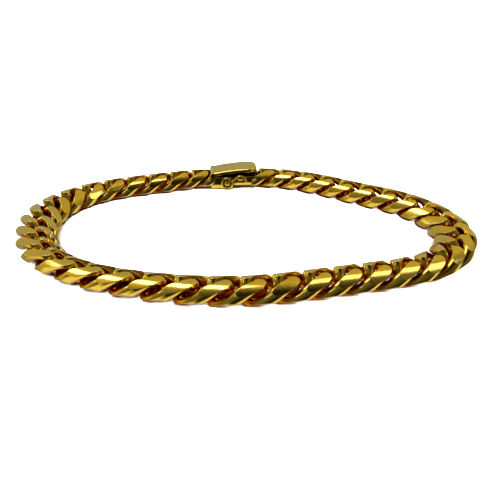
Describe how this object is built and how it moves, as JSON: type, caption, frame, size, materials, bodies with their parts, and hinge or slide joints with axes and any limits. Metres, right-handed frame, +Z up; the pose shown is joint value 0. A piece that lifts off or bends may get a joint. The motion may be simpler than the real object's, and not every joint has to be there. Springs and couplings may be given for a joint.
{
  "type": "curb chain bracelet",
  "caption": "Closed curb chain bracelet of domed filed links with a box clasp, hinged cover and wire safety latch, lying flat.",
  "frame": {"origin": "middle of the loop's footprint, on the surface that the bracelet lies on", "axes": "+X along the clasp from its box to its tongue body, +Y from the front of the loop to the clasp, +Z up from the surface"},
  "size_m": [0.0844, 0.0586, 0.005],
  "materials": {
    "gold": "polished yellow gold"
  },
  "bodies": {
    "bracelet": {"link_01": "gold", "link_02": "gold", "link_03": "gold", "link_04": "gold", "link_05": "gold", "link_06": "gold", "link_07": "gold", "link_08": "gold", "link_09": "gold", "link_10": "gold", "link_11": "gold", "link_12": "gold", "link_13": "gold", "link_14": "gold", "link_15": "gold", "link_16": "gold", "link_17": "gold", "link_18": "gold", "link_19": "gold", "link_20": "gold", "link_21": "gold", "link_22": "gold", "link_23": "gold", "link_24": "gold", "link_25": "gold", "link_26": "gold", "link_27": "gold", "link_28": "gold", "link_29": "gold", "link_30": "gold", "link_31": "gold", "link_32": "gold", "link_33": "gold", "link_34": "gold", "link_35": "gold", "link_36": "gold", "link_37": "gold", "link_38": "gold", "clasp_box": "gold", "clasp_tongue": "gold", "cover_pin": "gold"},
    "cover": {"clasp_cover": "gold"},
    "latch": {"safety_latch": "gold"}
  },
  "joints": [
    {"name": "cover_hinge", "type": "hinge", "parent": "bracelet", "child": "cover", "pos_m": [-0.00575, 0.02571, 0.00335], "axis": [0, -1, 0], "range_deg": [0, 95]},
    {"name": "latch_hinge", "type": "hinge", "parent": "bracelet", "child": "latch", "pos_m": [0.0006, 0.02173, 0.00308], "axis": [-1, 0, 0], "range_deg": [0, 110]}
  ]
}
